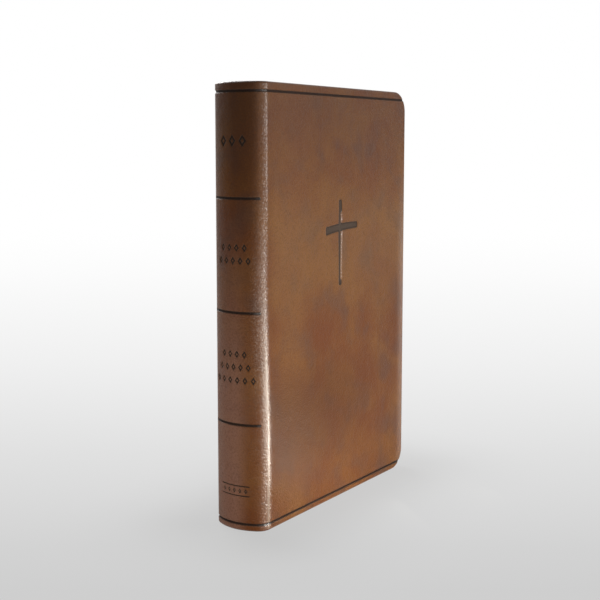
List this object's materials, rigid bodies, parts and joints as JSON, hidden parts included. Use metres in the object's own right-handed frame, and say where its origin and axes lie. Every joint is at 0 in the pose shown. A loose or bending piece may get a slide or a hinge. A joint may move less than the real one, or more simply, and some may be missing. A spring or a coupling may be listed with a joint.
{
  "type": "bible",
  "caption": "Bible bound in limp brown imitation leather, standing closed on its tail, with a pressed cross; its covers open at a rounded spine and fan out sewn page signatures.",
  "frame": {"origin": "middle of the tail edges that the book stands on, at half its width and thickness", "axes": "+X from the spine to the fore-edge, +Y from the front cover to the back cover, +Z from tail to head"},
  "size_m": [0.142, 0.03, 0.216],
  "materials": {
    "leather": "mottled brown, matt, fine pebble grain",
    "board": "flexible grey-brown card",
    "endpaper": "plain cream endpaper",
    "page_paper": "thin cream page paper with gilt edges",
    "lining": "brown kraft paper",
    "mull": "open-weave cotton",
    "thread": "waxed thread",
    "band": "two-colour woven band"
  },
  "bodies": {
    "spine": {"spine_leather": "leather", "spine_inlay": "board", "spine_lining": "lining", "spine_mull": "mull", "sewing_thread": "thread", "headband": "band", "tailband": "band", "sewn_folds": "page_paper", "endpaper_hinges": "endpaper"},
    "front_cover": {"front_cover_leather": "leather", "front_cover_board": "board", "front_cover_infill": "board", "front_pastedown": "endpaper"},
    "back_cover": {"back_cover_leather": "leather", "back_cover_board": "board", "back_cover_infill": "board", "back_pastedown": "endpaper"},
    "front_flyleaf": {"front_flyleaf": "endpaper"},
    "back_flyleaf": {"back_flyleaf": "endpaper"},
    "signature_01": {"signature_01": "page_paper"},
    "signature_02": {"signature_02": "page_paper"},
    "signature_03": {"signature_03": "page_paper"},
    "signature_04": {"signature_04": "page_paper"},
    "signature_05": {"signature_05": "page_paper"},
    "signature_06": {"signature_06": "page_paper"},
    "signature_07": {"signature_07": "page_paper"},
    "signature_08": {"signature_08": "page_paper"},
    "signature_09": {"signature_09": "page_paper"},
    "signature_10": {"signature_10": "page_paper"},
    "signature_11": {"signature_11": "page_paper"},
    "signature_12": {"signature_12": "page_paper"},
    "signature_13": {"signature_13": "page_paper"},
    "signature_14": {"signature_14": "page_paper"},
    "signature_15": {"signature_15": "page_paper"},
    "signature_16": {"signature_16": "page_paper"},
    "signature_17": {"signature_17": "page_paper"},
    "signature_18": {"signature_18": "page_paper"},
    "signature_19": {"signature_19": "page_paper"},
    "signature_20": {"signature_20": "page_paper"}
  },
  "joints": [
    {"name": "front_cover_open", "type": "hinge", "parent": "spine", "child": "front_cover", "pos_m": [-0.06474, -0.01515, 0.108], "axis": [0, 0, -1], "range_deg": [0, 180]},
    {"name": "back_cover_open", "type": "hinge", "parent": "spine", "child": "back_cover", "pos_m": [-0.06474, 0.01515, 0.108], "axis": [0, 0, 1], "range_deg": [0, 180]},
    {"name": "front_flyleaf_turn", "type": "hinge", "parent": "spine", "child": "front_flyleaf", "pos_m": [-0.05928, -0.01219, 0.108], "axis": [0, 0, -1], "range_deg": [0, 132]},
    {"name": "back_flyleaf_turn", "type": "hinge", "parent": "spine", "child": "back_flyleaf", "pos_m": [-0.05928, 0.01219, 0.108], "axis": [0, 0, 1], "range_deg": [0, 132]},
    {"name": "signature_01_turn", "type": "hinge", "parent": "spine", "child": "signature_01", "pos_m": [-0.05791, -0.01139, 0.108], "axis": [0, 0, -1], "range_deg": [0, 120]},
    {"name": "signature_02_turn", "type": "hinge", "parent": "spine", "child": "signature_02", "pos_m": [-0.05624, -0.01019, 0.108], "axis": [0, 0, -1], "range_deg": [0, 108]},
    {"name": "signature_03_turn", "type": "hinge", "parent": "spine", "child": "signature_03", "pos_m": [-0.05489, -0.00899, 0.108], "axis": [0, 0, -1], "range_deg": [0, 96]},
    {"name": "signature_04_turn", "type": "hinge", "parent": "spine", "child": "signature_04", "pos_m": [-0.05379, -0.00779, 0.108], "axis": [0, 0, -1], "range_deg": [0, 84]},
    {"name": "signature_05_turn", "type": "hinge", "parent": "spine", "child": "signature_05", "pos_m": [-0.0529, -0.00659, 0.108], "axis": [0, 0, -1], "range_deg": [0, 72]},
    {"name": "signature_06_turn", "type": "hinge", "parent": "spine", "child": "signature_06", "pos_m": [-0.05218, -0.0054, 0.108], "axis": [0, 0, -1], "range_deg": [0, 60]},
    {"name": "signature_07_turn", "type": "hinge", "parent": "spine", "child": "signature_07", "pos_m": [-0.05162, -0.0042, 0.108], "axis": [0, 0, -1], "range_deg": [0, 48]},
    {"name": "signature_08_turn", "type": "hinge", "parent": "spine", "child": "signature_08", "pos_m": [-0.0512, -0.003, 0.108], "axis": [0, 0, -1], "range_deg": [0, 36]},
    {"name": "signature_09_turn", "type": "hinge", "parent": "spine", "child": "signature_09", "pos_m": [-0.05089, -0.0018, 0.108], "axis": [0, 0, -1], "range_deg": [0, 24]},
    {"name": "signature_10_turn", "type": "hinge", "parent": "spine", "child": "signature_10", "pos_m": [-0.05067, -0.0006, 0.108], "axis": [0, 0, -1], "range_deg": [0, 12]},
    {"name": "signature_11_turn", "type": "hinge", "parent": "spine", "child": "signature_11", "pos_m": [-0.05067, 0.0006, 0.108], "axis": [0, 0, 1], "range_deg": [0, 12]},
    {"name": "signature_12_turn", "type": "hinge", "parent": "spine", "child": "signature_12", "pos_m": [-0.05089, 0.0018, 0.108], "axis": [0, 0, 1], "range_deg": [0, 24]},
    {"name": "signature_13_turn", "type": "hinge", "parent": "spine", "child": "signature_13", "pos_m": [-0.0512, 0.003, 0.108], "axis": [0, 0, 1], "range_deg": [0, 36]},
    {"name": "signature_14_turn", "type": "hinge", "parent": "spine", "child": "signature_14", "pos_m": [-0.05162, 0.0042, 0.108], "axis": [0, 0, 1], "range_deg": [0, 48]},
    {"name": "signature_15_turn", "type": "hinge", "parent": "spine", "child": "signature_15", "pos_m": [-0.05218, 0.0054, 0.108], "axis": [0, 0, 1], "range_deg": [0, 60]},
    {"name": "signature_16_turn", "type": "hinge", "parent": "spine", "child": "signature_16", "pos_m": [-0.0529, 0.00659, 0.108], "axis": [0, 0, 1], "range_deg": [0, 72]},
    {"name": "signature_17_turn", "type": "hinge", "parent": "spine", "child": "signature_17", "pos_m": [-0.05379, 0.00779, 0.108], "axis": [0, 0, 1], "range_deg": [0, 84]},
    {"name": "signature_18_turn", "type": "hinge", "parent": "spine", "child": "signature_18", "pos_m": [-0.05489, 0.00899, 0.108], "axis": [0, 0, 1], "range_deg": [0, 96]},
    {"name": "signature_19_turn", "type": "hinge", "parent": "spine", "child": "signature_19", "pos_m": [-0.05624, 0.01019, 0.108], "axis": [0, 0, 1], "range_deg": [0, 108]},
    {"name": "signature_20_turn", "type": "hinge", "parent": "spine", "child": "signature_20", "pos_m": [-0.05791, 0.01139, 0.108], "axis": [0, 0, 1], "range_deg": [0, 120]}
  ],
  "couplings": [
    {"joint": "front_flyleaf_turn", "follows": "front_cover_open", "ratio": 0.73333},
    {"joint": "back_flyleaf_turn", "follows": "back_cover_open", "ratio": 0.73333},
    {"joint": "signature_01_turn", "follows": "front_cover_open", "ratio": 0.66667},
    {"joint": "signature_02_turn", "follows": "front_cover_open", "ratio": 0.6},
    {"joint": "signature_03_turn", "follows": "front_cover_open", "ratio": 0.53333},
    {"joint": "signature_04_turn", "follows": "front_cover_open", "ratio": 0.46667},
    {"joint": "signature_05_turn", "follows": "front_cover_open", "ratio": 0.4},
    {"joint": "signature_06_turn", "follows": "front_cover_open", "ratio": 0.33333},
    {"joint": "signature_07_turn", "follows": "front_cover_open", "ratio": 0.26667},
    {"joint": "signature_08_turn", "follows": "front_cover_open", "ratio": 0.2},
    {"joint": "signature_09_turn", "follows": "front_cover_open", "ratio": 0.13333},
    {"joint": "signature_10_turn", "follows": "front_cover_open", "ratio": 0.066667},
    {"joint": "signature_11_turn", "follows": "back_cover_open", "ratio": 0.066667},
    {"joint": "signature_12_turn", "follows": "back_cover_open", "ratio": 0.13333},
    {"joint": "signature_13_turn", "follows": "back_cover_open", "ratio": 0.2},
    {"joint": "signature_14_turn", "follows": "back_cover_open", "ratio": 0.26667},
    {"joint": "signature_15_turn", "follows": "back_cover_open", "ratio": 0.33333},
    {"joint": "signature_16_turn", "follows": "back_cover_open", "ratio": 0.4},
    {"joint": "signature_17_turn", "follows": "back_cover_open", "ratio": 0.46667},
    {"joint": "signature_18_turn", "follows": "back_cover_open", "ratio": 0.53333},
    {"joint": "signature_19_turn", "follows": "back_cover_open", "ratio": 0.6},
    {"joint": "signature_20_turn", "follows": "back_cover_open", "ratio": 0.66667}
  ]
}
